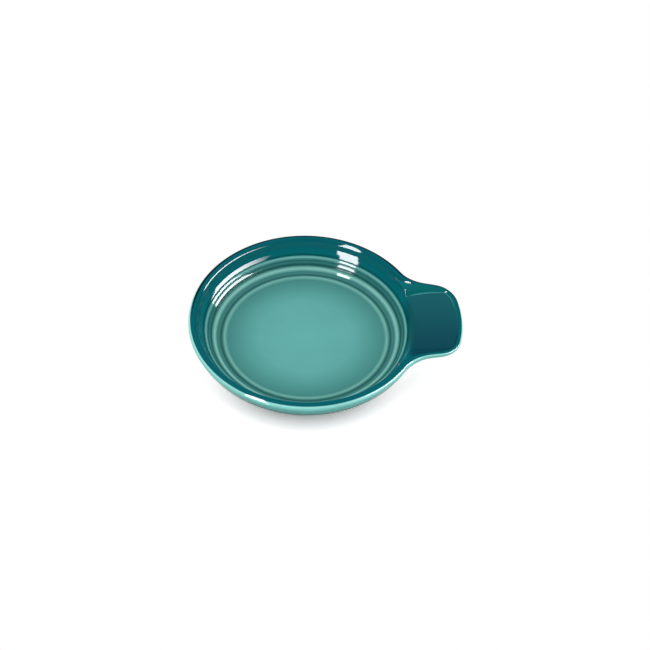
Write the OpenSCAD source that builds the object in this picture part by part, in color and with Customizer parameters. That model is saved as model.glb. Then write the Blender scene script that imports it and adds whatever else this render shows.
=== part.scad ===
// A round stoneware spoon rest with a short tab for the spoon's handle.
// Every surface is worked out for the glaze, and the clay lies one glaze thickness inside it.
// Millimetres. The table is at height zero and the tab points along +X.

/* [Dish] */
// Radius of the round dish over its lip
dish_r = 64; // [60:0.5:70]
// Height of the lip's top above the table
lip_z = 21.5; // [21:0.05:22.5]
// Radius of the dish's rounded lip
lip_r = 2.5; // [2.1:0.1:2.8]
// How far the round of the dish's lip runs down its inner side, in degrees
lip_turn = 66; // [58:1:67]
// Lean of the outer wall from upright, in degrees
wall_lean = 20; // [18:1:22]
// Slope of the underside from the foot ring out to the wall's round turn, in degrees
under_slope = 13; // [10:1:15]
// Width of that slope in plan, from the foot ring to where the round turn starts
under_w = 2.1; // [1.5:0.1:3]

/* [Well] */
// Height of the glazed floor above the table
floor_z = 6; // [5.6:0.1:6.6]
// How far the middle of the floor lies below its edge
floor_dip = 0.15; // [0.05:0.05:0.4]
// Width of the upper wall in plan, from the lip's outer edge in to the wall's foot
wall_w = 7.9; // [7.4:0.1:8.4]
// Width of the level step between the wall's foot and the top ring's crest
step_w = 1.7; // [1.5:0.1:2.3]
// Width of the top ring's riser in plan
top_riser_w = 2.6; // [2.4:0.1:3.4]
// Height of the top ring's riser
top_riser_h = 3.85; // [3.3:0.05:4.1]
// Width of the sloping step between the top ring's riser and the middle ring's crest
mid_step_w = 1.8; // [1.5:0.1:2.2]
// Rise of that sloping step
mid_step_h = 0.55; // [0.4:0.05:0.7]
// Width of the middle ring's riser in plan
mid_riser_w = 3.3; // [3:0.1:3.8]
// Height of the middle ring's riser
mid_riser_h = 2; // [1.7:0.1:2.4]
// Height above the floor of the crease at the middle ring's foot
mid_foot_h = 0.2; // [0.1:0.05:0.3]
// Width from that crease in to the crest of the low bead round the floor
bead_out_w = 1.9; // [1.6:0.1:2.2]
// Width from the crest of the low bead in to the flat floor
bead_in_w = 1.8; // [1.4:0.1:2.4]
// Height of the low bead above the floor
bead_h = 0.45; // [0.3:0.05:0.7]
// Rounding of the rings' crests
crest_round = 1.2; // [0.8:0.1:1.4]
// Rounding of the creases between the rings
crease_round = 0.6; // [0.4:0.1:0.8]

/* [Tab] */
// Reach of the tab's tip beyond the dish's lip
tab_len = 21.2; // [18:0.2:26]
// Width of the tab, measured tab_back short of its tip
tab_width = 52; // [48:1:56]
// Distance from the tip at which that width is measured
tab_back = 14.2; // [13:0.2:16]
// Taper of each side towards the tip, in degrees
side_taper = 10; // [7:1:12]
// Radius of the gently bowed tip
tip_r = 67; // [60:1:74]
// Radius of the tab's two corners
corner_r = 14.2; // [11:0.2:15]
// Radius of the hollow curve where the tab leaves the dish
root_r = 20.8; // [17:0.2:23]
// Radius of the tab's rounded lip
tab_lip_r = 1.3; // [1.1:0.1:1.6]
// How far the round of the tab's lip runs down its inner side, in degrees
tab_lip_turn = 52; // [45:1:60]
// How far the lip falls where the tab leaves the dish
root_drop = 0.1; // [0.05:0.05:0.3]
// Depth of the tab's tray below the top of the dish's lip
tray_drop = 2.6; // [2.3:0.05:3]
// Width of the hollow bank between the tray and the lip
bank_w = 3.8; // [3:0.2:5]
// Softness of the edge over which the tray drops into the dish
brow_soft = 1.5; // [0.8:0.1:2]
// Thickness of the tab under its tray
tab_t = 3.6; // [3.2:0.1:4]
// How far the lip falls on its way to the tip
tip_drop = 2.1; // [1:0.1:2.2]
// Distance from the tip at which the lip starts to fall
drop_len = 19.2; // [16:0.2:21]

/* [Foot and glaze] */
// Distance from the dish's lip in to the outside of the foot ring
foot_inset = 17; // [16:0.1:19]
// Width of the foot ring's flat, unglazed face
foot_w = 4; // [3:0.5:6]
// Height of the recess inside the foot ring
recess_h = 2; // [1.6:0.1:2.4]
// Height of the clay's underside above the table, just outside the foot ring
under_z = 3.8; // [3.4:0.1:4.2]
// Thickness of every glaze coat
glaze_t = 0.35; // [0.25:0.05:0.4]

/* [Hidden] */
$fn = 180;

// Widths of the level margins past which a round cut meets a flat face, and the reach of every cut
seam_margin = 0.7;
foot_margin = 0.6;
foot_grip = 3;
overrun = 2;

// Steps along the curved parts of a section and along the tab's outline
crest_steps = 4;
lip_inner_shares = [1, 0.5];
lip_outer_turns = [for (a = [0 : -30 : -90]) a];
knee_steps = 7;
bend_steps = 5;
tip_steps = 4;
corner_steps = 6;
side_steps = 2;
root_steps = 7;
dish_steps = 48;

// Places along a section, as shares of the stretch that they divide
wall_share = 0.45;
brow_shares = [-0.7, -0.25, 0.2, 0.65];
tray_shares = [0.3, 0.65, 1];
bank_shares = [0.66, 0.33];
bank_part_share = 0.6;
edge_bend_share = 0.7;

// Radii of the well's rings, worked out inwards from the lip, and their heights above the floor
wall_foot_r = dish_r - wall_w;
top_crest_r = wall_foot_r - step_w;
top_foot_r = top_crest_r - top_riser_w;
mid_crest_r = top_foot_r - mid_step_w;
mid_foot_r = mid_crest_r - mid_riser_w;
bead_r = mid_foot_r - bead_out_w;
floor_r = bead_r - bead_in_w;
mid_crest_h = mid_foot_h + mid_riser_h;
top_foot_h = mid_crest_h + mid_step_h;
top_crest_h = top_foot_h + top_riser_h;

// Other heights, radii and reaches that follow from the sizes above
foot_r = dish_r - foot_inset;
tab_reach = dish_r + tab_len;
tab_width_x = tab_reach - tab_back;
drop_x = tab_reach - drop_len;
tray_z = lip_z - tray_drop;
tread_z = floor_z + top_crest_h;
seam_r = wall_foot_r - seam_margin;
hub_top_z = floor_z + top_foot_h;
tray_under_z = tray_z - tab_t;
lip_inset = lip_r * (1 + sin(lip_turn));
lip_fall = lip_r * (1 - cos(lip_turn));
plain_edge_r = dish_r - lip_inset;
wall_slope = (lip_z - lip_fall - tread_z) / (plain_edge_r - wall_foot_r);
brow_r = wall_foot_r + (tray_z - tread_z) / wall_slope;
brow_reach = plain_edge_r - brow_r;
brow_end_r = brow_r + brow_shares[3] * brow_reach;

// The outer wall's round turn: a circle that touches the sloping underside where the slope ends,
// and whose radius makes it touch the leaning wall too
under_glaze_z = under_z - glaze_t;
ledge_r = foot_r + foot_margin;
wall_out = [cos(wall_lean), -sin(wall_lean)];
under_out = [sin(under_slope), -cos(under_slope)];
slope_end = [ledge_r + under_w, under_glaze_z + under_w * tan(under_slope)];
knee_r = wall_out * ([dish_r, lip_z - lip_r] - slope_end) / (1 - wall_out * under_out);
knee_c = slope_end - under_out * knee_r;

// The tab's outline in plan: tip arc, corner arc, side line and root arc, all tangent
side_n = [sin(side_taper), cos(side_taper)];
side_along = [cos(side_taper), -sin(side_taper)];
side_line = side_n * [tab_width_x, tab_width / 2];
tip_c = [tab_reach - tip_r, 0];
root_up = side_line + root_r;
root_c = side_n * root_up + side_along * sqrt(pow(dish_r + root_r, 2) - pow(root_up, 2));
corner_up = side_line - corner_r - tip_c * side_n;
corner_run = sqrt(pow(tip_r - corner_r, 2) - pow(corner_up, 2));
corner_c = tip_c + side_n * corner_up + side_along * corner_run;
side_turn = 90 - side_taper;
corner_turn = atan2(corner_c.y - tip_c.y, corner_c.x - tip_c.x);
root_turn = atan2(root_c.y, root_c.x);
root_x = dish_r * cos(root_turn);

function unit(v) = v / norm(v);
function mix(a, b, s) = a * (1 - s) + b * s;
function lift(p, z) = [p.x, p.y, z];
function ease(s) = let (t = min(max(s, 0), 1)) t * t * (3 - 2 * t);

// The lower of two heights, with the edge between them softened over k
function soft_min(a, b, k) =
    let (h = max(k - abs(a - b), 0) / max(k, glaze_t)) min(a, b) - h * h * k / 4;

// An arc of the outline as [point, outward direction], given by the direction's angles
function outline_arc(c, r, from, to, steps) = [
    for (i = [0 : steps - 1])
        let (a = mix(from, to, i / steps), n = [cos(a), sin(a)]) [c + r * n, n]
];

// The upper half of the outline, from the middle of the tip to where the dish is plain again
half_outline = concat(
    outline_arc(tip_c, tip_r, 0, corner_turn, tip_steps),
    outline_arc(corner_c, corner_r, corner_turn, side_turn, corner_steps),
    [
        for (i = [0 : side_steps - 1])
            [mix(corner_c + side_n * corner_r, root_c - side_n * root_r, i / side_steps), side_n]
    ],
    outline_arc(root_c, -root_r, side_turn, root_turn, root_steps)
);

// The whole outline: the tab's lower half, its upper half, and the plain dish round to the start
outline = concat(
    [for (i = [len(half_outline) - 1 : -1 : 1]) [for (v = half_outline[i]) [v.x, -v.y]]],
    half_outline,
    outline_arc([0, 0], dish_r, root_turn, 360 - root_turn, dish_steps),
    outline_arc([0, 0], dish_r, 360 - root_turn, 360, 1)
);

// The section of the glazed surface at one place of the outline, from the level step in the well,
// over the lip and down to the underside at the foot ring. Each entry is [point, outward direction].
function section(column) =
    let (
        p = column[0],
        n = column[1],
        out = ease((p.x - root_x) / (drop_x - root_x)),
        radius = mix(lip_r, tab_lip_r, out),
        turn = mix(lip_turn, tab_lip_turn, out),
        fall = root_drop * out + tip_drop * pow(max(p.x - drop_x, 0) / (tab_reach - drop_x), 2),
        lip_c_z = lip_z - fall - radius,
        inner = p - n * radius * (1 + sin(turn)),
        reach = norm(inner),
        u = inner / reach,
        edge_z = lip_c_z + radius * cos(turn),
        slant = n * u,
        soft = brow_soft * min((reach - plain_edge_r) / bank_w, 1),
        run = reach - brow_end_r,
        bank = min(bank_w / slant, run * bank_part_share),
        radii = concat(
            [wall_foot_r, mix(wall_foot_r, brow_r, wall_share)],
            [for (s = brow_shares) brow_r + s * brow_reach],
            [for (s = tray_shares) brow_end_r + s * (run - bank)],
            [for (s = bank_shares) reach - s * bank]
        ),
        edge_drop = lip_c_z - tray_under_z,
        edge_foot = p - n * edge_drop * tan(wall_lean),
        bend_r = knee_c.x + sqrt(pow(knee_r, 2) - pow(knee_c.y - tray_under_z, 2)),
        bend = edge_drop * edge_bend_share,
        bend_turn = asin((knee_c.y - tray_under_z) / knee_r) + bend / knee_r * 180 / PI,
        from = lift(mix(edge_foot, p, edge_bend_share), tray_under_z + bend),
        to = lift(u * (knee_c.x + knee_r * cos(bend_turn)), knee_c.y - knee_r * sin(bend_turn)),
        knee_end = 90 - under_slope
    )
    concat(
        [[lift(u * (foot_r - foot_grip), tread_z), u]],
        [
            for (r = radii)
                let (
                    s = min(max((reach - r) * slant / bank_w, 0), 1),
                    tray = tray_z + (edge_z - tray_z) * pow(1 - s, 2),
                    wall = tread_z + (r - wall_foot_r) * wall_slope
                )
                [lift(u * r, soft_min(wall, tray, soft)), u]
        ],
        [
            for (a = concat(lip_inner_shares * turn, lip_outer_turns))
                [lift(p - n * radius * (1 + sin(a)), lip_c_z + radius * cos(a)), n]
        ],
        [
            for (i = [0 : bend_steps])
                let (
                    t = i / bend_steps,
                    near = mix(from, lift(edge_foot, tray_under_z), t),
                    middle = mix(lift(edge_foot, tray_under_z), lift(u * bend_r, tray_under_z), t),
                    far = mix(lift(u * bend_r, tray_under_z), to, t)
                )
                [mix(mix(near, middle, t), mix(middle, far, t), t), u]
        ],
        [
            for (i = [1 : knee_steps])
                let (a = mix(bend_turn, knee_end, i / knee_steps))
                [lift(u * (knee_c.x + knee_r * cos(a)), knee_c.y - knee_r * sin(a)), u]
        ],
        [
            [lift(u * ledge_r, under_glaze_z), u],
            [lift(u * (foot_r - foot_grip), under_glaze_z), u]
        ]
    );
station_count = len(section(outline[0]));
inner_count = 2 + len(brow_shares) + len(tray_shares) + len(bank_shares);
lip_station = inner_count + len(lip_inner_shares) + len(lip_outer_turns);

// The same section one glaze thickness further in. Its level ends move straight up or down.
function inset_section(s) = [
    for (k = [0 : station_count - 1])
        let (
            o = lift(s[k][1], 0),
            t = s[min(k + 1, station_count - 1)][0] - s[max(k - 1, 0)][0],
            away = t * o,
            straight = k < 2 ? 1 : k > station_count - 3 ? -1 : 0,
            n = straight != 0 ? [0, 0, straight] : unit(away * [0, 0, 1] - t.z * o)
        )
        s[k][0] - n * glaze_t
];
function glaze_points(s) = [for (v = s) v[0]];
function stretch(points, from, to) = [for (k = [from : to]) points[k]];
function backwards(points) = [for (k = [len(points) - 1 : -1 : 0]) points[k]];

// Closed loops for one column: all of the clay, or a coat between two stations
function clay_loop(column) = backwards(inset_section(section(column)));
function coat_loop(column, from, to) =
    let (s = section(column))
    concat(stretch(inset_section(s), from, to), backwards(stretch(glaze_points(s), from, to)));

// A ring-shaped solid through a row of closed loops, the last of which joins on to the first
module loft(loops) {
    n = len(loops);
    m = len(loops[0]);
    polyhedron(
        points = [for (l = loops) each l],
        faces = [
            for (i = [0 : n - 1], j = [0 : m - 1])
                let (
                    here = i * m,
                    next = (i + 1) % n * m,
                    k = (j + 1) % m
                )
                each [[here + j, here + k, next + k], [here + j, next + k, next + j]]
        ]
    );
}

// Points of a rounded corner at b, between a and c
function rounded(a, b, c, r) =
    let (
        to_a = unit(a - b),
        to_c = unit(c - b),
        half = acos(to_a * to_c) / 2,
        centre = b + unit(to_a + to_c) * r / sin(half),
        start = b + to_a * r / tan(half) - centre,
        end = b + to_c * r / tan(half) - centre,
        from = atan2(start.y, start.x),
        turn = atan2(start.x * end.y - start.y * end.x, start * end)
    )
    [
        for (i = [0 : crest_steps])
            let (angle = from + turn * i / crest_steps) centre + r * [cos(angle), sin(angle)]
    ];

// The well's glazed profile, from the axis to the level step behind the top ring
well_corners = [
    [[0, floor_z - floor_dip], 0],
    [[floor_r, floor_z], crest_round],
    [[bead_r, floor_z + bead_h], crest_round],
    [[mid_foot_r, floor_z + mid_foot_h], crease_round],
    [[mid_crest_r, floor_z + mid_crest_h], crest_round],
    [[top_foot_r, floor_z + top_foot_h], crease_round],
    [[top_crest_r, tread_z], crest_round],
    [[seam_r, tread_z], 0]
];
well_last = len(well_corners) - 1;
well_points = concat(
    [well_corners[0][0]],
    [
        for (i = [1 : well_last - 1])
            each rounded(
                well_corners[i - 1][0], well_corners[i][0], well_corners[i + 1][0], well_corners[i][1]
            )
    ],
    [well_corners[well_last][0]]
);

// The clay under that profile
well_clay_points = [
    for (k = [0 : len(well_points) - 1])
        let (
            end = k == 0 || k == len(well_points) - 1,
            t = end ? [1, 0] : unit(well_points[k + 1] - well_points[k - 1])
        )
        well_points[k] - glaze_t * [-t.y, t.x]
];

// Clay casting: the dish with its tab, the foot ring under it and the stepped well cut into it
module stoneware_body() {
    color("wheat")
        difference() {
            union() {
                loft([for (c = outline) clay_loop(c)]);
                difference() {
                    cylinder(r = foot_r, h = hub_top_z);
                    translate([0, 0, -overrun])
                        cylinder(r = foot_r - foot_w, h = recess_h + overrun);
                }
            }
            rotate_extrude()
                polygon(concat(well_clay_points, [[seam_r, lip_z + overrun], [0, lip_z + overrun]]));
        }
}

// Pale coat over the floor and the rings, up to the level step
module well_glaze() {
    color([0.42, 0.68, 0.66])
        rotate_extrude()
            polygon(concat(well_clay_points, backwards(well_points)));
}

// Dark coat up the wall, over the tab's tray and round the lip
module rim_glaze() {
    color([0.07, 0.4, 0.42])
        difference() {
            loft([for (c = outline) coat_loop(c, 0, lip_station)]);
            cylinder(r = seam_r, h = lip_z + overrun);
        }
}

// Bright coat from under the lip, down the outside and under the tab, to the foot ring
module outer_glaze() {
    color([0.5, 0.84, 0.8])
        difference() {
            loft([for (c = outline) coat_loop(c, lip_station, station_count - 1)]);
            cylinder(r = foot_r, h = lip_z);
        }
}

// Coat on the recess inside the foot ring
module base_glaze() {
    color([0.5, 0.84, 0.8])
        translate([0, 0, recess_h - glaze_t])
            cylinder(r = foot_r - foot_w, h = glaze_t);
}

// The middle of the overall length is the origin
module placed() {
    translate([(dish_r - tab_reach) / 2, 0, 0])
        children();
}

placed() stoneware_body();
placed() well_glaze();
placed() rim_glaze();
placed() outer_glaze();
placed() base_glaze();
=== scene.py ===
# Glazed stoneware spoon rest: a round stepped dish with a short tab, photographed on a white sweep.
# Shapes are worked out in millimetres from the dish's axis and put into the part's frame in metres.
import math
import bmesh
import bpy
import numpy as np
from mathutils import Matrix, Vector


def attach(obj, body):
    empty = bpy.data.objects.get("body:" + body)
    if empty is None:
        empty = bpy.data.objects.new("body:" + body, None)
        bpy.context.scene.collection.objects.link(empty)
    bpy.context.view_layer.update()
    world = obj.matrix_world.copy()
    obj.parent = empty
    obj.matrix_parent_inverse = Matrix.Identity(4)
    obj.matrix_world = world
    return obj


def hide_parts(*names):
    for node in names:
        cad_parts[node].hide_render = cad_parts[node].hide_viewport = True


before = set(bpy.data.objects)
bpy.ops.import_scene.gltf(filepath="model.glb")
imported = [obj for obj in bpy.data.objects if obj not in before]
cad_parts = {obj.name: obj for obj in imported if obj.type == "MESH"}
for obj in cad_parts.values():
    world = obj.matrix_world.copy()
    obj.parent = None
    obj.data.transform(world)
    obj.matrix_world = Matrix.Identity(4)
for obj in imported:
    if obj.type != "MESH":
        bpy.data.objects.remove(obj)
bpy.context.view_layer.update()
print("stage 1: CAD frame loaded")

perMetre = 1000  # millimetres

view = {
    "position": (-24.58, -732.88, 821.41),  # mm, in the part's frame
    "target": (-0.41, -4.16, 20.0),
    "roll": 1.806,  # degrees, the object looks turned clockwise
    "lens": 110.77,
    "sensor": 36,
    "clip": (0.05, 60),
}


# The camera looks from position to target; its right and up turn by roll about that line
def makeCamera(view):
    place, target = Vector(view["position"]) / perMetre, Vector(view["target"]) / perMetre
    ahead = (target - place).normalized()
    right = ahead.cross(Vector((0, 0, 1))).normalized()
    up = right.cross(ahead)
    turn = math.radians(view["roll"])
    rolledRight = right * math.cos(turn) + up * math.sin(turn)
    rolledUp = up * math.cos(turn) - right * math.sin(turn)
    data = bpy.data.cameras.new("studioCamera")
    data.lens = view["lens"]
    data.sensor_width = view["sensor"]
    data.clip_start, data.clip_end = view["clip"]
    camera = bpy.data.objects.new("studioCamera", data)
    axes = Matrix((rolledRight, rolledUp, -ahead)).transposed()
    camera.matrix_world = Matrix.Translation(place) @ axes.to_4x4()
    bpy.context.scene.collection.objects.link(camera)
    bpy.context.scene.camera = camera


makeCamera(view)
print("stage 2: camera")

# One section is shared by the clay and by the coats over it (millimetres)
section = {
    "axisX": -10.6,  # the dish's axis in the part's frame
    "dishR": 63.98,
    "lipZ": 21.5,
    "lipR": 2.5,  # round of the dish's lip, on its top and outer side
    "innerR": 3.1,  # easier round on its inner side
    "easeTurn": 25.0,  # where the inner side's round takes over, degrees
    "lipTurn": 66.0,  # how far it runs down the inner side, degrees
    "tabLipR": 1.3,
    "tabLipTurn": 28.0,
    "rootDrop": 0.1,  # the tab's lip lies this much lower than the dish's
    "dropX": 66.0,  # from here to the tip it falls by tipDrop
    "tipDrop": 2.1,
    "wallLean": 20.0,  # degrees
    "underSlope": 13.0,  # degrees
    "underW": 2.1,  # width of the sloping underside
    "bendUp": 0.7,  # share of the outside's height over which it bends in
    "trayZ": 19.4,
    "traySide": 0.8,  # the tray's level part lies this much off the middle line
    "trayHalf": 20.2,  # its half width at trayX, which draws in by trayDraw over drawW towards the dish
    "trayX": 76.0,
    "trayDraw": 1.6,
    "drawW": 20.0,
    "trayFall": 1.3,  # how far the tray falls from fallX to rootX
    "fallX": 75.0,
    "rootX": 60.0,
    "runMost": 1.2,  # drawing in and falling go on to this share of their runs
    "bankLeast": 0.5,  # least width of the flat bank at the sides
    "tipBankW": 1.3,  # width of the steep bank at the tip
    "bankMerge": 0.3,  # how softly the two banks merge
    "bankCurl": 0.35,  # share of the bank that curls up from the tray before it runs straight
    "browSoft": 1.3,  # width of the rounding between wall and tray
    "browFall": 0.5,  # how far the tray rolls down towards the dish, over browW
    "browW": 3.2,
    "browGrow": 3.9,  # both come up to full over this much reach past the dish's own lip
    "browGap": 0.05,  # the wall's own stations stop this far short of the brow
    "browShare": 0.65,  # and the brow's stop at this share of its way to the wall's upper end
    "tabT": 4.2,  # from the tray down to the bend under the tab
    "footR": 47.0,
    "footW": 4.0,
    "footEdge": 0.7,  # round of the foot ring's two lower edges
    "footMargin": 0.6,  # the sloping underside starts this far outside the ring
    "footFillet": 1.2,
    "filletFrom": 0.18,  # share of the fillet's quarter turn at which it leaves the underside
    "coatEndZ": 1.0,  # height at which the outer coat stops on the foot ring
    "coatRoll": [(0.0, 0.3), (0.1, 0.1), (0.25, 0.0)],  # its edge: how far in, and how far above that
    "recessH": 2.0,  # height of the recess inside the foot ring
    "underZ": 3.8,  # height of the clay's underside beside the ring
    "glazeT": 0.35,
    "baseSoft": 0.6,  # round of the base coat's corner
    "baseDown": 0.12,  # how far below that round it ends
    "baseEnd": 0.15,  # its thickness there
}
tab = {
    "reach": 85.2,  # its tip from the dish's axis
    "width": 52.0,  # at widthX
    "widthX": 71.0,
    "taper": 10.0,  # degrees that each side leans in
    "tipR": 67.0,
    "cornerR": 14.2,
    "rootR": 20.8,
}
# The dish's glazed profile up to its lip: radius, height above the table, rounding of that corner.
# The top ring is two low ribs with a groove between them, and the wall rises from the crease above.
well = {
    "corners": [
        (0.0, 5.85, 0.0),
        (42.9, 6.0, 1.2),
        (44.7, 6.45, 1.2),
        (46.7, 6.2, 0.5),
        (48.7, 7.15, 1.5),
        (49.85, 8.05, 0.7),
        (51.85, 8.87, 0.3),
        (52.4, 10.0, 0.5),
        (53.4, 11.0, 0.4),
        (53.75, 11.17, 0.15),
        (54.1, 12.0, 0.3),
        (54.9, 12.75, 0.5),
        (55.75, 13.1, 0.25),
        (57.1, 14.7, 1.6),
        (58.3, 16.7, 1.0),
    ],
    "seamR": 55.4,  # here the pale coat ends and the rim's coat begins
    "seamStep": 0.02,  # short first step on each side of it, so that its edge stays crisp
    "seamClear": 0.05,  # other points stay this far from it
    "roundSteps": 6,  # points on each corner's arc
    "stepMost": 1.5,  # long straight stretches get a point this often, so that shading stays even
}
# Columns round the outline for each of its stretches, and stations along the section
outlineSteps = {"tip": 14, "corner": 24, "side": 10, "root": 30, "plain": 224}
plainAt = sum(outlineSteps.values()) - outlineSteps["plain"]  # first column of the plain dish
sectionSteps = {
    "brow": 9,
    "bank": 31,
    "lip": 11,
    "outside": 18,
    "knee": 17,
    "fillet": 9,
    "footEdge": 6,
    "baseEdge": 7,
}
wholeTurn = 360  # columns of a piece that is round


def unit(v):
    return v / np.linalg.norm(v, axis=-1, keepdims=True)


# Smaller of a and b, with the edge between them rounded off over the width k
def softMin(a, b, k):
    k = np.maximum(k, 1e-4)
    near = np.maximum(k - np.abs(a - b), 0) / k
    return np.minimum(a, b) - near**2 * k / 4


def softMax(a, b, k):
    return -softMin(-a, -b, k)


# Outline in plan: tip arc, corner arc, side line and root arc, all tangent, then the plain circle.
# Returns points and outward directions, running once round from the middle of the tip.
def outlineOf(section, tab):
    turn = math.radians(tab["taper"])
    sideN = np.array([math.sin(turn), math.cos(turn)])
    along = np.array([math.cos(turn), -math.sin(turn)])
    line = sideN @ np.array([tab["widthX"], tab["width"] / 2])
    tipC = np.array([tab["reach"] - tab["tipR"], 0])
    rootUp = line + tab["rootR"]
    rootC = sideN * rootUp + along * math.sqrt((section["dishR"] + tab["rootR"]) ** 2 - rootUp**2)
    cornerUp = line - tab["cornerR"] - tipC @ sideN
    cornerRun = math.sqrt((tab["tipR"] - tab["cornerR"]) ** 2 - cornerUp**2)
    cornerC = tipC + sideN * cornerUp + along * cornerRun
    sideTurn = math.pi / 2 - turn
    cornerTurn = math.atan2(*(cornerC - tipC)[::-1])
    rootTurn = math.atan2(rootC[1], rootC[0])

    def arc(centre, radius, start, end, steps):
        a = start + (end - start) * np.arange(steps) / steps
        n = np.stack([np.cos(a), np.sin(a)], -1)
        return centre + radius * n, n

    steps = outlineSteps
    share = (np.arange(steps["side"]) / steps["side"])[:, None]
    sideFrom, sideTo = cornerC + sideN * tab["cornerR"], rootC - sideN * tab["rootR"]
    parts = [
        arc(tipC, tab["tipR"], 0, cornerTurn, steps["tip"]),
        arc(cornerC, tab["cornerR"], cornerTurn, sideTurn, steps["corner"]),
        (sideFrom * (1 - share) + sideTo * share, np.repeat(sideN[None], steps["side"], 0)),
        arc(rootC, -tab["rootR"], sideTurn, rootTurn, steps["root"]),
    ]
    p = np.concatenate([part[0] for part in parts])
    n = np.concatenate([part[1] for part in parts])
    plainEnd = 2 * math.pi - rootTurn
    plainP, plainN = arc(np.zeros(2), section["dishR"], rootTurn, plainEnd, steps["plain"])
    flip = np.array([1, -1])
    # the lower half mirrors the upper one, starting with the point where the dish is plain again
    lowP, lowN = p[:0:-1] * flip, n[:0:-1] * flip
    firstN = np.array([[math.cos(rootTurn), -math.sin(rootTurn)]])
    lowP, lowN = np.concatenate([firstN * section["dishR"], lowP]), np.concatenate([firstN, lowN])
    return np.concatenate([p, plainP, lowP]), np.concatenate([n, plainN, lowN])


# Eased share of a step that runs from 0 to 1
def easeIn(share):
    share = np.clip(share, 0, 1)
    return share * share * (3 - 2 * share)


# Round of the lip in one section: an arc of the inner side's radius from the wall up to easeTurn, then
# the lip's own arc over the top to the outermost point. Gives how far in from the outline, and how high.
def lipRound(radius, innerR, easeTurn, turn, steps):
    inner = turn + (easeTurn - turn) * np.linspace(0, 1, steps)[:-1]
    outer = easeTurn + (-math.pi / 2 - easeTurn) * np.linspace(0, 1, 2 * steps)
    step = innerR - radius
    innerIn = innerR * np.sin(inner) - step * math.sin(easeTurn)
    innerUp = innerR * np.cos(inner) - step * math.cos(easeTurn)
    inset = radius + np.concatenate([innerIn, radius * np.sin(outer)])
    height = np.concatenate([innerUp, radius * np.cos(outer)]) - radius
    slope = np.concatenate([inner, outer]) / (math.pi / 2)
    return inset, height, slope


# How far a point lies sideways past the tray's level part, whose half width draws in towards the dish
def pastTray(p, s):
    draw = np.clip((s["trayX"] - p[..., 0]) / s["drawW"], 0, s["runMost"])
    return np.abs(p[..., 1] - s["traySide"]) - s["trayHalf"] + s["trayDraw"] * draw**2


# A section line (how far from the axis, and how high) repeated along each ray
def turned(line, rays):
    xy = rays[:, None] * line[None, :, :1]
    return np.concatenate([xy, np.repeat(line[None, :, 1:], len(rays), 0)], -1)


def raysRound(turns):
    a = np.arange(turns) / turns * 2 * math.pi
    return np.stack([np.cos(a), np.sin(a)], -1)


# Points round the lip in each outline column, their slopes, and the height of the middle of its round.
# The lip grows thinner and a little lower from where the dish is plain to the tab.
def lipGrid(p, n, s):
    rootX = s["dishR"] * n[plainAt, 0]
    onTab = easeIn((p[:, 0] - rootX) / (s["dropX"] - rootX))
    toTip = np.maximum(p[:, 0] - s["dropX"], 0) / (tab["reach"] - s["dropX"])
    fall = s["rootDrop"] * onTab + s["tipDrop"] * toTip**2
    radius = s["lipR"] + (s["tabLipR"] - s["lipR"]) * onTab
    innerR = s["innerR"] + (s["tabLipR"] - s["innerR"]) * onTab
    turn = np.radians(s["lipTurn"] + (s["tabLipTurn"] - s["lipTurn"]) * onTab)
    easeTurn, steps = math.radians(s["easeTurn"]), sectionSteps["lip"]
    rounds = [lipRound(a, b, easeTurn, c, steps) for a, b, c in zip(radius, innerR, turn)]
    inset, height, slopes = (np.array(values) for values in zip(*rounds))
    top = (s["lipZ"] - fall)[:, None]
    lip = np.concatenate([p[:, None] - n[:, None] * inset[..., None], (top + height)[..., None]], -1)
    return lip, slopes, top - radius[:, None]


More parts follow.
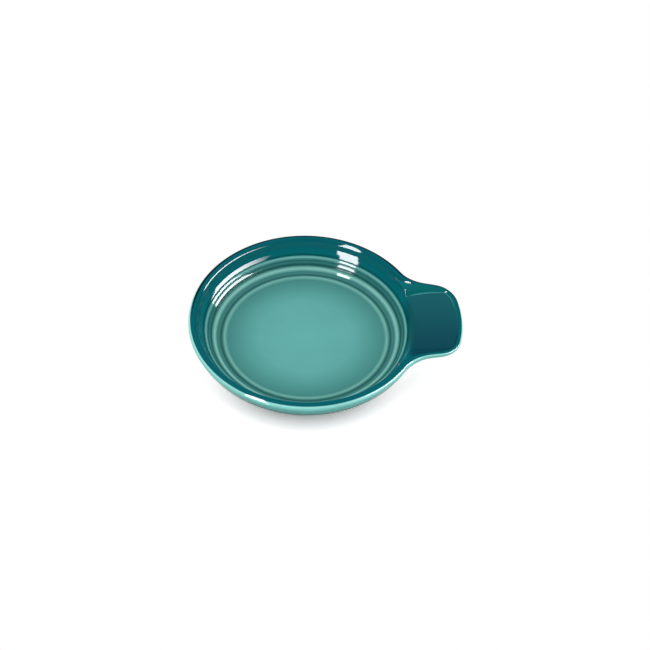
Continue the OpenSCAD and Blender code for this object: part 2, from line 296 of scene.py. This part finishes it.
# From the seam up to the lip's foot: the wall's own stations, then a brow, the tray and the bank up to
# the lip. The bank is flat along the sides and steep at the tip, curls up from the tray and then runs
# straight. Also gives the rays from the axis, and how far up the bank each point lies.
def insideGrid(lipFoot, n, s, wallLine):
    edge = lipFoot[:, 2:]
    inner = lipFoot[:, :2]
    reach = np.linalg.norm(inner, axis=1)[:, None]
    u = inner / reach
    slant = (n * u).sum(1)[:, None]
    plainEdge = wallLine[-1, 0]
    onTab = np.clip((reach - plainEdge) / s["browGrow"], 0, 1)
    browR = np.interp(s["trayZ"], wallLine[:, 1], wallLine[:, 0])
    browEnd = browR + s["browShare"] * (plainEdge - browR)
    low = wallLine[wallLine[:, 0] < browR - s["browGap"], 0]
    brow = np.linspace(low[-1], browEnd, sectionSteps["brow"])[1:]
    t = np.linspace(0, 1, sectionSteps["bank"])[1:-1]
    r = np.repeat(np.concatenate([low, brow])[None], len(n), 0)
    r = np.concatenate([r, browEnd + (reach - browEnd) * t], 1)

    steepBank = 1 - np.clip((reach - r) * slant / s["tipBankW"], 0, 1)
    beyond = pastTray(u[:, None] * r[..., None], s)
    edgeBeyond = np.maximum(pastTray(inner, s)[:, None], s["bankLeast"])
    flatBank = np.clip(beyond / edgeBeyond, 0, 1)
    # the two are merged softly, less what that adds where both are 0
    excess = s["bankMerge"] / 4
    bank = np.maximum(softMax(flatBank, steepBank, s["bankMerge"]) - excess, 0) / (1 - excess)
    curl = s["bankCurl"]
    rise = np.where(bank < curl, bank**2 / (2 * curl), bank - curl / 2) / (1 - curl / 2)

    roll = s["browFall"] * onTab * np.maximum(1 - (r - browR) / s["browW"], 0) ** 2
    run = (s["fallX"] - u[:, :1] * r) / (s["fallX"] - s["rootX"])
    level = s["trayZ"] - s["trayFall"] * np.clip(run, 0, s["runMost"]) ** 2
    tray = level + (edge - level) * rise - roll
    steep = np.diff(wallLine[-2:], axis=0)[0]
    wall = np.interp(r, wallLine[:, 0], wallLine[:, 1]) + np.maximum(r - plainEdge, 0) * steep[1] / steep[0]
    soft = s["browSoft"] * onTab
    z = np.where(soft > 0, softMin(wall, tray, soft), wall)
    inside = np.concatenate([u[:, None, :] * r[..., None], z[..., None]], -1)
    return inside, u, np.clip(bank, 0, 1)


# Middle and radius of the knee's circle, which touches the leaning wall and the sloping underside
def kneeCircle(s):
    lean, slope = math.radians(s["wallLean"]), math.radians(s["underSlope"])
    out = np.array([[math.cos(lean), -math.sin(lean)], [math.sin(slope), -math.cos(slope)]])
    slopeR = s["footR"] + s["footMargin"] + s["underW"]
    slopeEnd = np.array([slopeR, s["underZ"] - s["glazeT"] + s["underW"] * math.tan(slope)])
    lipSide = np.array([s["dishR"], s["lipZ"] - s["lipR"]])
    radius = out[0] @ (lipSide - slopeEnd) / (1 - out[0] @ out[1])
    return slopeEnd - out[1] * radius, radius


# Down the outside: a cubic Bezier from the leaning wall to the knee's circle, then the knee's own arc
def outsideGrid(p, n, u, lipMiddle, s):
    (kneeX, kneeY), kneeR = kneeCircle(s)
    trayUnder = s["trayZ"] - s["tabT"]
    drop = lipMiddle - trayUnder
    foot = p - n * drop * math.tan(math.radians(s["wallLean"]))
    bendR = kneeX + math.sqrt(kneeR**2 - (kneeY - trayUnder) ** 2)
    bend = drop * s["bendUp"]
    bendTurn = math.asin((kneeY - trayUnder) / kneeR) + bend / kneeR
    kneeStart = u * (kneeX + kneeR * np.cos(bendTurn))
    level = np.full_like(drop, trayUnder)
    corners = [
        np.concatenate([foot * (1 - s["bendUp"]) + p * s["bendUp"], trayUnder + bend], 1),
        np.concatenate([foot, level], 1),
        np.concatenate([u * bendR, level], 1),
        np.concatenate([kneeStart, kneeY - kneeR * np.sin(bendTurn)], 1),
    ]
    t = np.linspace(0, 1, sectionSteps["outside"])[None, :, None]
    weights = [(1 - t) ** 3, 3 * t * (1 - t) ** 2, 3 * t**2 * (1 - t), t**3]
    side = sum(w * c[:, None] for w, c in zip(weights, corners))
    kneeTurn = math.pi / 2 - math.radians(s["underSlope"]) - bendTurn
    turn = bendTurn + kneeTurn * np.linspace(0, 1, sectionSteps["knee"])[1:]
    kneeXY = u[:, None] * (kneeX + kneeR * np.cos(turn))[..., None]
    knee = np.concatenate([kneeXY, (kneeY - kneeR * np.sin(turn))[..., None]], -1)
    return np.concatenate([side, knee], 1)


# The outer coat's end: a fillet from the sloping underside down the foot ring's side, then its edge
def coatEnd(s):
    coatR, fillet = s["footR"] + s["glazeT"], s["footFillet"]
    past = coatR + fillet - (s["footR"] + s["footMargin"])
    ledge = s["underZ"] - s["glazeT"] + past * math.tan(math.radians(s["underSlope"]))
    b = np.linspace(s["filletFrom"], 1, sectionSteps["fillet"]) * math.pi / 2
    bend = np.stack([coatR + fillet * (1 - np.sin(b)), ledge - fillet * (1 - np.cos(b))], -1)
    roll = [(coatR - inwards, s["coatEndZ"] + above) for inwards, above in s["coatRoll"]]
    return np.concatenate([bend, roll])


# Glazed surface over a grid of outline columns and section stations: from the seam in the well up to the
# lip, round it, down the outside and in to the foot ring
def sectionGrid(p, n, s, wallLine):
    lip, slopes, lipMiddle = lipGrid(p, n, s)
    inside, u, bank = insideGrid(lip[:, 0], n, s, wallLine)
    outside = outsideGrid(p, n, u, lipMiddle, s)
    grid = np.concatenate([inside, lip, outside, turned(coatEnd(s), u)], 1)
    counts = {"inside": inside.shape[1], "lip": lip.shape[1], "all": grid.shape[1]}
    return grid, u, slopes, bank, counts


# The clay under a coat: every point goes one coat thickness in, square to the section line
def underCoat(grid, u, thickness):
    along = np.empty_like(grid)
    along[:, 1:-1] = grid[:, 2:] - grid[:, :-2]
    along[:, 0], along[:, -1] = grid[:, 1] - grid[:, 0], grid[:, -1] - grid[:, -2]
    away = (along[..., :2] * u[:, None]).sum(-1)
    flatN = -along[..., 2:3] * u[:, None]
    return grid - thickness * unit(np.concatenate([flatN, away[..., None]], -1))


# Points of the dish's profile, each corner replaced by a tangent arc of its own rounding. It ends
# where the round of the lip begins.
def wellProfile(well, s):
    easeTurn, lipTurn = math.radians(s["easeTurn"]), math.radians(s["lipTurn"])
    inset, height = lipRound(s["lipR"], s["innerR"], easeTurn, lipTurn, 2)[:2]
    lipFoot = (s["dishR"] - inset[0], s["lipZ"] + height[0])
    corners = np.array([c[:2] for c in well["corners"]] + [lipFoot])
    found = [corners[:1]]
    for k in range(1, len(corners) - 1):
        before, here, after = corners[k - 1 : k + 2]
        toA, toC = unit(before - here), unit(after - here)
        radius, half = well["corners"][k][2], math.acos(toA @ toC) / 2
        centre = here + unit(toA + toC) * radius / math.sin(half)
        start, end = here + toA * radius / math.tan(half), here + toC * radius / math.tan(half)
        t = np.linspace(0, 1, well["roundSteps"])[:, None]
        found.append(centre + radius * unit((start - centre) * (1 - t) + (end - centre) * t))
    found.append(corners[-1:])
    line = np.concatenate(found)
    lengths = np.linalg.norm(np.diff(line, axis=0), axis=1)
    steps = np.maximum(np.ceil(lengths / well["stepMost"]), 1).astype(int)
    pieces = [a + (b - a) * (np.arange(m) / m)[:, None] for a, b, m in zip(line[:-1], line[1:], steps)]
    return np.concatenate(pieces + [line[-1:]])


# The profile one coat thickness lower, square to its line
def underProfile(line, thickness):
    along = np.gradient(line, axis=0)
    along[0] = along[-1] = (1, 0)
    along = unit(along)
    return line - thickness * np.stack([-along[:, 1], along[:, 0]], -1)


weld = 1e-7  # metres, points closer than this become one
shortEdge = 1e-8


# A mesh from a grid of points (columns run round, stations run along the section). Columns always
# close. Stations close too where loop is true; otherwise the first and last shrink to a pole each.
def gridMesh(name, grid, loop, tones=None):
    columns, rows = grid.shape[:2]
    firsts = np.arange(columns)[:, None] * rows
    stations = np.arange(rows if loop else rows - 1)[None]
    here, down = firsts + stations, firsts + (stations + 1) % rows
    quads = np.stack([here, np.roll(here, -1, 0), np.roll(down, -1, 0), down], -1).reshape(-1, 4)
    mesh = bpy.data.meshes.new(name)
    mesh.vertices.add(columns * rows)
    place = (grid + (section["axisX"], 0, 0)) / perMetre
    mesh.vertices.foreach_set("co", place.astype(np.float32).ravel())
    mesh.loops.add(quads.size)
    mesh.loops.foreach_set("vertex_index", quads.astype(np.int32).ravel())
    mesh.polygons.add(len(quads))
    mesh.polygons.foreach_set("loop_start", np.arange(0, quads.size, 4, dtype=np.int32))
    mesh.update(calc_edges=True)
    for toneName, values in (tones or {}).items():
        layer = mesh.attributes.new(toneName, "FLOAT", "POINT")
        layer.data.foreach_set("value", values.astype(np.float32).ravel())
    mesh.validate()
    obj = bpy.data.objects.new(name, mesh)
    bpy.context.scene.collection.objects.link(obj)
    work = bmesh.new()
    work.from_mesh(mesh)
    bmesh.ops.remove_doubles(work, verts=work.verts, dist=weld)
    bmesh.ops.dissolve_degenerate(work, edges=work.edges, dist=shortEdge)
    bmesh.ops.recalc_face_normals(work, faces=work.faces)
    for face in work.faces:
        face.smooth = True
    work.to_mesh(mesh)
    work.free()
    return obj


outlineP, outlineN = outlineOf(section, tab)
profile = wellProfile(well, section)
seamAt = well["seamR"] + np.array([-well["seamStep"], 0, well["seamStep"]])
seam = np.stack([seamAt, np.interp(seamAt, profile[:, 0], profile[:, 1])], -1)
wellLine = np.concatenate([profile[profile[:, 0] < well["seamR"] - well["seamClear"]], seam[:2]])
wallLine = np.concatenate([seam[1:], profile[profile[:, 0] > well["seamR"] + well["seamClear"]]])
glazeGrid, rays, lipTurns, bankShares, counts = sectionGrid(outlineP, outlineN, section, wallLine)
clayGrid = underCoat(glazeGrid, rays, section["glazeT"])
wellClay = underProfile(wellLine, section["glazeT"])
lipEnd = counts["inside"] + counts["lip"]


def coatLoop(start, end):
    return np.concatenate([glazeGrid[:, start:end], clayGrid[:, start:end][:, ::-1]], 1)


def makeWellCoat():
    closed = np.concatenate([wellLine, wellClay[::-1]])
    return gridMesh("wellCoat", turned(closed, raysRound(wholeTurn)), False)


trayTones = {"from": 57.8, "width": 1.2}  # millimetres from the axis


# Tones on the rim coat: the lip's slope (1 upright inside, 0 on top, -1 upright outside), whether a point
# lies as far out as the tray, and how far up the bank between the tray and the lip
def makeRimCoat():
    lipTone = np.concatenate([np.ones((len(glazeGrid), counts["inside"])), lipTurns], 1)
    far = np.linalg.norm(glazeGrid[:, : counts["inside"], :2], axis=-1)
    trayTone = np.clip((far - trayTones["from"]) / trayTones["width"], 0, 1)
    trayTone = np.concatenate([trayTone, trayTone[:, -1:].repeat(counts["lip"], 1)], 1)
    bankTone = np.concatenate([bankShares, np.ones_like(lipTurns)], 1)
    tones = {"lipTone": lipTone, "trayTone": trayTone, "bankTone": bankTone}
    tones = {name: np.concatenate([tone, tone[:, ::-1]], 1) for name, tone in tones.items()}
    return gridMesh("rimCoat", coatLoop(0, lipEnd), True, tones)


def makeOuterCoat():
    return gridMesh("outerCoat", coatLoop(lipEnd - 1, counts["all"]), True)


# Clay: the well's clay, the section's clay, then the bare foot ring and the recess under the dish
def makeBody():
    footR, edge, high = section["footR"], section["footEdge"], section["recessH"]
    footIn = footR - section["footW"]
    b = np.linspace(0, math.pi / 2, sectionSteps["footEdge"])
    near, away = edge * (1 - np.sin(b)), edge * (1 - np.cos(b))
    outer, inner = np.stack([footR - away, near], -1), np.stack([footIn + near, away], -1)
    recess = [(footIn, high), (footIn / 2, high), (0, high)]
    foot = turned(np.concatenate([outer, inner, recess]), rays)
    grid = np.concatenate([turned(wellClay, rays), clayGrid[:, 1:-1], foot], 1)
    return gridMesh("stonewareBody", grid, False)


# The recess's coat, which turns down the foot ring's inner side
def makeBaseCoat():
    s = section
    footIn, high, soft = s["footR"] - s["footW"], s["recessH"], s["baseSoft"]
    low = high - s["glazeT"]
    end = low - soft - s["baseDown"]
    b = np.linspace(0, math.pi / 2, sectionSteps["baseEdge"])
    flat = [(0, low), (footIn / 2, low)]
    bend = np.stack([footIn - s["glazeT"] - soft * (1 - np.sin(b)), low - soft * (1 - np.cos(b))], -1)
    edge = [(footIn - s["baseEnd"], end), (footIn, end)]
    top = [(footIn, high), (footIn / 2, high), (0, high)]
    line = np.concatenate([flat, bend, edge, top])[::-1]
    return gridMesh("baseCoat", turned(line, raysRound(wholeTurn)), False)


# One socket of a node tree. Arithmetic on it adds Math nodes; node() adds any other kind.
class Wire:
    def __init__(self, tree, socket=None):
        self.tree = tree
        self.socket = socket

    def node(self, kind, settings=None, inputs=None, output=0):
        made = self.tree.nodes.new(kind)
        for key, value in (settings or {}).items():
            if key == "stops":
                ramp = made.color_ramp
                while len(ramp.elements) < len(value):
                    ramp.elements.new(0.5)
                for element, (place, colour) in zip(ramp.elements, value):
                    element.position = place
                    element.color = colour
            else:
                setattr(made, key, value)
        for key, value in (inputs or {}).items():
            if isinstance(value, Wire):
                self.tree.links.new(value.socket, made.inputs[key])
            else:
                made.inputs[key].default_value = value
        return Wire(self.tree, made.outputs[output] if made.outputs else None)

    def maths(self, operation, *values):
        return self.node("ShaderNodeMath", {"operation": operation}, dict(enumerate(values)))

    def __add__(self, other):
        return self.maths("ADD", self, other)

    def __sub__(self, other):
        return self.maths("SUBTRACT", self, other)

    def __mul__(self, other):
        return self.maths("MULTIPLY", self, other)

    def __truediv__(self, other):
        return self.maths("DIVIDE", self, other)

    def __pow__(self, other):
        return self.maths("POWER", self, other)

    def ease(self, low, high):
        inputs = {"Value": self, "From Min": low, "From Max": high}
        return self.node("ShaderNodeMapRange", {"interpolation_type": "SMOOTHSTEP"}, inputs)

    def mix(self, first, second):  # this value is the share of the second colour
        kind = {"data_type": "RGBA", "clamp_factor": True}
        return self.node("ShaderNodeMix", kind, {0: self, 6: first, 7: second}, 2)


# A colour written as eight-bit sRGB, in the linear values that the shader takes
def paint(red, green, blue):
    shares = (red / 255, green / 255, blue / 255)
    return (*(c / 12.92 if c <= 0.04045 else ((c + 0.055) / 1.055) ** 2.4 for c in shares), 1.0)


def grey(level):
    return (level, level, level, 1)


def newMaterial(name):
    material = bpy.data.materials.new(name)
    material.use_nodes = True
    tree = material.node_tree
    tree.nodes.clear()
    return material, Wire(tree)


def objectPlace(wire):
    return wire.node("ShaderNodeTexCoord", output=3)


# Position from the dish's axis, in millimetres: radius, x, y and z
def dishPlace(wire):
    place = objectPlace(wire)
    axes = wire.node("ShaderNodeSeparateXYZ", inputs={0: place})
    x = Wire(wire.tree, axes.socket.node.outputs[0]) * perMetre - section["axisX"]
    y = Wire(wire.tree, axes.socket.node.outputs[1]) * perMetre
    z = Wire(wire.tree, axes.socket.node.outputs[2]) * perMetre
    radius = (x * x + y * y) ** 0.5
    return radius, x, y, z


def noiseOf(wire, scale, detail=2.0, roughness=0.5):
    inputs = {"Vector": objectPlace(wire), "Scale": scale, "Detail": detail, "Roughness": roughness}
    return wire.node("ShaderNodeTexNoise", inputs=inputs)


gloss = {
    "roughness": 0.05,
    "dullSpread": 0.02,  # it varies by this much, in noise of dullScale
    "dullScale": 140.0,
    "ior": 1.5,
    "waveScale": 55.0,  # slow orange-peel of a fired glaze
    "waveHeight": 0.000014,
    "grainScale": 900.0,
    "grainHeight": 0.0000025,
    "patchScale": 60.0,
    "patchDetail": 3.0,
    "patchSpan": (0.35, 0.75),  # noise values between which a patch darkens
}


# A fired gloss coat: colour from the caller, with slow waves and fine grain in the surface
def finishGlaze(wire, colour):
    waves = noiseOf(wire, gloss["waveScale"]) * gloss["waveHeight"]
    grain = noiseOf(wire, gloss["grainScale"]) * gloss["grainHeight"]
    normal = wire.node("ShaderNodeBump", inputs={"Strength": 1.0, "Distance": 1.0, "Height": waves + grain})
    dull = noiseOf(wire, gloss["dullScale"]) * gloss["dullSpread"]
    roughness = dull + (gloss["roughness"] - gloss["dullSpread"] / 2)
    inputs = {"Base Color": colour, "Roughness": roughness, "IOR": gloss["ior"], "Normal": normal}
    surface = wire.node("ShaderNodeBsdfPrincipled", inputs=inputs)
    wire.node("ShaderNodeOutputMaterial", inputs={"Surface": surface})


# Colour with slow patches in it, where it goes a small share of the way to the dark one
def withVariation(wire, colour, dark, amount):
    patchy = noiseOf(wire, gloss["patchScale"], gloss["patchDetail"]).ease(*gloss["patchSpan"]) * amount
    return patchy.mix(colour, paint(*dark))


# Pale coat's colour by radius: paler crests and darker creases are partly the glaze thinning and pooling,
# partly painted highlight and painted shade; the floor darkens towards the wall, partly glaze thickness and
# partly painted shade.
paleGlaze = {
    "radii": [  # radius in mm and colour there
        (0, (104, 180, 176)),
        (26, (100, 174, 170)),
        (38, (82, 152, 147)),
        (42.8, (74, 142, 138)),
        (44.6, (122, 188, 178)),
        (45.6, (66, 128, 122)),
        (46.6, (34, 90, 88)),
        (47.3, (72, 136, 132)),
        (48.4, (58, 128, 124)),
        (49.8, (148, 214, 206)),
        (50.6, (112, 180, 170)),
        (51.7, (8, 82, 80)),
        (52.7, (62, 134, 132)),
        (53.5, (20, 98, 98)),
        (54.5, (126, 204, 198)),
        (55.4, (6, 96, 96)),
    ],
    "rampR": 60,  # radius at the ramp's end
    "patches": (70, 140, 135),
    "amount": 0.12,
}


def palePaint():
    material, wire = newMaterial("paleTealGlaze")
    radius, rampR = dishPlace(wire)[0], paleGlaze["rampR"]
    stops = [(r / rampR, paint(*colour)) for r, colour in paleGlaze["radii"]]
    colour = wire.node("ShaderNodeValToRGB", {"stops": stops}, {0: radius / rampR})
    colour = withVariation(wire, colour, paleGlaze["patches"], paleGlaze["amount"])
    finishGlaze(wire, colour)
    return material


deepGlaze = {
    # dark of the crease: partly pooled glaze, partly painted shade; it also paints the shade at the tab's
    # root
    "crease": (0, 76, 80),
    "wall": (4, 118, 127),
    "trayNearShade": (16, 74, 88),
    "trayFar": (28, 96, 104),
    "bankFootHighlight": (70, 152, 156),
    "litFarBank": (10, 110, 110),
    "shadedNearBank": (6, 70, 84),
    "lip": (6, 100, 110),
    "farLipReflection": (0, 28, 40),
    "outside": (166, 246, 238),
    "outsideLow": (112, 204, 196),
}
# Where its tones change, from and to. A name that ends in X, Y or Z is in millimetres, one that ends in
# Far is y over the radius, and the others are values of the tones that the mesh carries.
deepSpans = {
    "wallZ": (12.3, 14.5),
    "rootX": (40.0, 52.0),
    "trayX": (52.0, 60.0),
    "trayY": (-22.0, 20.0),
    "bankY": (-16.0, 12.0),
    "bank": (0.02, 0.25),
    "lineStart": (0.0, 0.08),
    "lineEnd": (0.28, 0.14),
    "lineY": (8.0, 18.0),
    "lineX": (55.0, 62.0),
    "lip": (0.75, 0.45),
    "farLipReflection": (-0.04, 0.12),
    "farEdgeFar": (-0.1, 0.3),
    "outsideLow": (0.5, 1.0),
    "breakFar": (0.1, 0.9),
    "break": (-0.05, 0.07),
}
deepShares = {
    "rootSpread": 0.6,  # how fast the painted shade at the tab's root narrows away from the middle line
    "root": 0.7,
    "breakNear": -0.38,  # slope of the lip at which the coat breaks to the bright one
    "breakFar": -0.25,  # how much further round that is on the far side, where the lip's outer side is painted in shade
    "patches": 0.1,
}
deepPatches = (4, 84, 92)


def toneOf(wire, name):
    return wire.node("ShaderNodeAttribute", {"attribute_name": name}, output=2)


def deepPaint():
    material, wire = newMaterial("deepTealGlaze")
    radius, x, y, z = dishPlace(wire)
    lipTone, trayTone, bankTone = (toneOf(wire, name) for name in ("lipTone", "trayTone", "bankTone"))
    spans, shares = deepSpans, deepShares
    colours = {name: paint(*value) for name, value in deepGlaze.items()}
    # the wall darkens into the crease below it: partly pooled glaze, partly painted shade
    colour = z.ease(*spans["wallZ"]).mix(colours["crease"], colours["wall"])
    # painted shade on the wall at the tab's root
    root = (x - y.maths("ABSOLUTE", y) * shares["rootSpread"]).ease(*spans["rootX"]) * shares["root"]
    colour = root.mix(colour, colours["crease"])
    # the tray is painted darker towards its near side and lighter towards its far one: painted shade and
    # light
    onTray = x.ease(*spans["trayX"]) * trayTone
    colour = onTray.mix(colour, y.ease(*spans["trayY"]).mix(colours["trayNearShade"], colours["trayFar"]))
    # painted light on the bank: a lighter, greener far side, painted shade on its near side, and a thin
    # painted highlight along its foot
    bank = y.ease(*spans["bankY"]).mix(colours["shadedNearBank"], colours["litFarBank"])
    colour = (bankTone.ease(*spans["bank"]) * onTray).mix(colour, bank)
    line = bankTone.ease(*spans["lineStart"]) * bankTone.ease(*spans["lineEnd"])
    line = line * y.ease(*spans["lineY"]) * x.ease(*spans["lineX"])
    colour = (line * onTray).mix(colour, colours["bankFootHighlight"])
    colour = lipTone.ease(*spans["lip"]).mix(colour, colours["lip"])
    past, far = lipTone * -1, y / radius
    # painted dark reflection just past the lip's top on its far side
    farLipReflection = past.ease(*spans["farLipReflection"]) * far.ease(*spans["farEdgeFar"])
    colour = farLipReflection.mix(colour, colours["farLipReflection"])
    # the coat breaks to the bright one a little past the lip's top; on the far side painted shade carries
    # the dark colour further round
    edge = far.ease(*spans["breakFar"]) * shares["breakFar"] + shares["breakNear"]
    # paler on the lip's outer round and darker further down it: partly the glaze thinning at the edge,
    # partly painted light above and painted shade below
    outside = past.ease(*spans["outsideLow"]).mix(colours["outside"], colours["outsideLow"])
    colour = (edge - lipTone).ease(*spans["break"]).mix(colour, outside)
    colour = withVariation(wire, colour, deepPatches, shares["patches"])
    finishGlaze(wire, colour)
    return material


brightGlaze = {
    "top": (104, 204, 195),
    "lower": [  # each colour below, and the heights between which it takes over, going down; the first two are painted shade towards the floor
        ((52, 172, 163), (20.0, 16.5)),
        ((6, 104, 98), (16.0, 13.0)),
        ((40, 104, 98), (1.6, 1.0)),
    ],
    "patches": (80, 176, 164),
    "amount": 0.12,
}


def brightPaint():
    material, wire = newMaterial("turquoiseGlaze")
    z = dishPlace(wire)[3]
    colour = paint(*brightGlaze["top"])
    # the outside darkens towards the floor: painted shade, then a last tone where the coat ends on the foot
    # ring
    for lower, span in brightGlaze["lower"]:
        colour = z.ease(*span).mix(colour, paint(*lower))
    colour = withVariation(wire, colour, brightGlaze["patches"], brightGlaze["amount"])
    finishGlaze(wire, colour)
    return material


bareClay = {
    "pale": (196, 180, 156),
    "dark": (160, 142, 118),
    "speck": (96, 80, 64),
    "darkNoise": (220.0, 4.0, 0.6),  # scale, detail and roughness of the noise
    "darkSpan": (0.35, 0.7),
    "speckNoise": (1500.0, 1.0),
    "speckSpan": (0.66, 0.74),
    "grainNoise": (1200.0, 4.0, 0.65),
    "grainHeight": 0.00006,
    "roughness": 0.85,
}


def clayPaint():
    material, wire = newMaterial("firedStoneware")
    clay = bareClay
    dark = noiseOf(wire, *clay["darkNoise"]).ease(*clay["darkSpan"])
    colour = dark.mix(paint(*clay["pale"]), paint(*clay["dark"]))
    colour = noiseOf(wire, *clay["speckNoise"]).ease(*clay["speckSpan"]).mix(colour, paint(*clay["speck"]))
    grain = noiseOf(wire, *clay["grainNoise"]) * clay["grainHeight"]
    normal = wire.node("ShaderNodeBump", inputs={"Strength": 1.0, "Distance": 1.0, "Height": grain})
    inputs = {"Base Color": colour, "Roughness": clay["roughness"], "Normal": normal}
    surface = wire.node("ShaderNodeBsdfPrincipled", inputs=inputs)
    wire.node("ShaderNodeOutputMaterial", inputs={"Surface": surface})
    return material


def dress(obj, material, node):
    obj.data.materials.append(material)
    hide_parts(node)
    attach(obj, "root")


turquoise = brightPaint()
dress(makeBody(), clayPaint(), "stoneware_body")
dress(makeWellCoat(), palePaint(), "well_glaze")
dress(makeRimCoat(), deepPaint(), "rim_glaze")
dress(makeOuterCoat(), turquoise, "outer_glaze")
dress(makeBaseCoat(), turquoise, "base_glaze")
print("stage 3: clay and coats")

studio = {
    "worldGrey": 0.15,
    "mirroredGrey": 0.025,  # the dark room that the glaze mirrors
    "floorColour": 0.9,
    # the paper in front of the dish as the camera sees it: bright enough that its open part clips to white
    "floorShown": (1.95, 1.84, 1.86),
    "openY": (-55.0, -15.0),  # it turns plain white over these stretches, in millimetres from the axis
    "openX": (35.0, 68.0),
    "floorHalf": 12.0,
    "firstMost": 2.5,  # ray depth up to which a panel is seen, which is a first reflection
}
white = (1, 1, 1, 1)
# Lamps: middle (m), sideways axis, upward axis, width and height (m), radiance, what sees them, and for
# the panels how far in from either side edge their light comes up to full
lamps = {
    "skyBox": {
        "middle": (-0.01, 0.02, 1.2),
        "across": (1, 0, 0),
        "up": (0, 1, 0),
        "size": (5.0, 5.0),
        "radiance": 1.0,
        "diffuse": True,
        "gloss": False,
    },
    "windowPanel": {
        "middle": (-2.025, -1.376, 3.874),
        "across": (0.783, -0.590, 0.196),
        "up": (-0.207, 0.05, 0.977),
        "size": (0.788, 7.24),
        "radiance": 20.0,
        "diffuse": False,
        "gloss": True,
        "fade": (0.06, 0.06),
    },
    "sidePanel": {
        "middle": (1.736, -0.465, 0.877),
        "across": (0.3018, 0.9489, -0.0939),
        "up": (-0.3936, 0.2133, 0.894),
        "size": (3.0, 0.62),
        "radiance": 20.0,
        "diffuse": False,
        "gloss": True,
        "fade": (0.5, 0.06),
    },
}


def makeWorld():
    world = bpy.data.worlds.new("studioWorld")
    world.use_nodes = True
    world.node_tree.nodes.clear()
    wire = Wire(world.node_tree)
    seen = wire.node("ShaderNodeLightPath", output=0)
    mirrored = Wire(wire.tree, seen.socket.node.outputs["Is Glossy Ray"])
    level = mirrored.mix(grey(studio["worldGrey"]), grey(studio["mirroredGrey"]))
    level = seen.mix(level, white)
    sky = wire.node("ShaderNodeBackground", inputs={"Color": level, "Strength": 1.0})
    wire.node("ShaderNodeOutputWorld", inputs={"Surface": sky})
    bpy.context.scene.world = world


# Plain white to the camera and in reflections, but lit paper that keeps the shadow in front of the dish
def makeFloor():
    half = studio["floorHalf"]
    corners = [(-half, -half, 0), (half, -half, 0), (half, half, 0), (-half, half, 0)]
    mesh = bpy.data.meshes.new("studioFloor")
    mesh.from_pydata(corners, [], [(0, 1, 2, 3)])
    floor = bpy.data.objects.new("studioFloor", mesh)
    bpy.context.scene.collection.objects.link(floor)
    material, wire = newMaterial("studioPaper")
    seen = wire.node("ShaderNodeLightPath", output=0)
    mirrored = Wire(wire.tree, seen.socket.node.outputs["Is Glossy Ray"])
    through = Wire(wire.tree, seen.socket.node.outputs["Is Transmission Ray"])
    x, y = dishPlace(wire)[1:3]
    aside = x.maths("ABSOLUTE", x).ease(*studio["openX"])
    around = x.maths("MAXIMUM", y.ease(*studio["openY"]), aside)
    others = seen.maths("MAXIMUM", mirrored, through)
    colour = others.mix(grey(studio["floorColour"]), white)
    colour = seen.mix(colour, (*studio["floorShown"], 1))
    paper = wire.node("ShaderNodeBsdfDiffuse", inputs={"Color": colour})
    plain = wire.node("ShaderNodeEmission", inputs={"Color": white, "Strength": 1.0})
    share = seen.maths("MAXIMUM", seen, others) * around
    surface = wire.node("ShaderNodeMixShader", inputs={0: share, 1: paper, 2: plain})
    wire.node("ShaderNodeOutputMaterial", inputs={"Surface": surface})
    floor.data.materials.append(material)


# A panel that the glaze mirrors: dim towards its side edges, and seen in a first reflection only
def panelShine(data, fade):
    data.use_nodes = True
    data.node_tree.nodes.clear()
    wire = Wire(data.node_tree)
    place = wire.node("ShaderNodeNewGeometry")
    share = Wire(wire.tree, place.socket.node.outputs["Parametric"])
    across = wire.node("ShaderNodeSeparateXYZ", inputs={0: share})
    shine = across.ease(0, fade[0]) * across.ease(1, 1 - fade[1])
    path = wire.node("ShaderNodeLightPath")
    depth = Wire(wire.tree, path.socket.node.outputs["Ray Depth"])
    first = wire.maths("LESS_THAN", depth, studio["firstMost"])
    light = wire.node("ShaderNodeEmission", inputs={"Color": white, "Strength": shine * first})
    wire.node("ShaderNodeOutputLight", inputs={"Surface": light})


def makeLamps():
    for name, lamp in lamps.items():
        data = bpy.data.lights.new(name, "AREA")
        data.shape = "RECTANGLE"
        data.size, data.size_y = lamp["size"]
        data.energy = lamp["radiance"] * math.pi * data.size * data.size_y
        made = bpy.data.objects.new(name, data)
        across, up = Vector(lamp["across"]).normalized(), Vector(lamp["up"]).normalized()
        axes = Matrix((across, up, across.cross(up))).transposed()
        made.matrix_world = Matrix.Translation(lamp["middle"]) @ axes.to_4x4()
        made.visible_glossy, made.visible_diffuse = lamp["gloss"], lamp["diffuse"]
        if "fade" in lamp:
            panelShine(data, lamp["fade"])
        bpy.context.scene.collection.objects.link(made)


makeWorld()
makeFloor()
makeLamps()
bpy.context.scene.view_settings.view_transform = "Standard"
print("stage 4: studio")
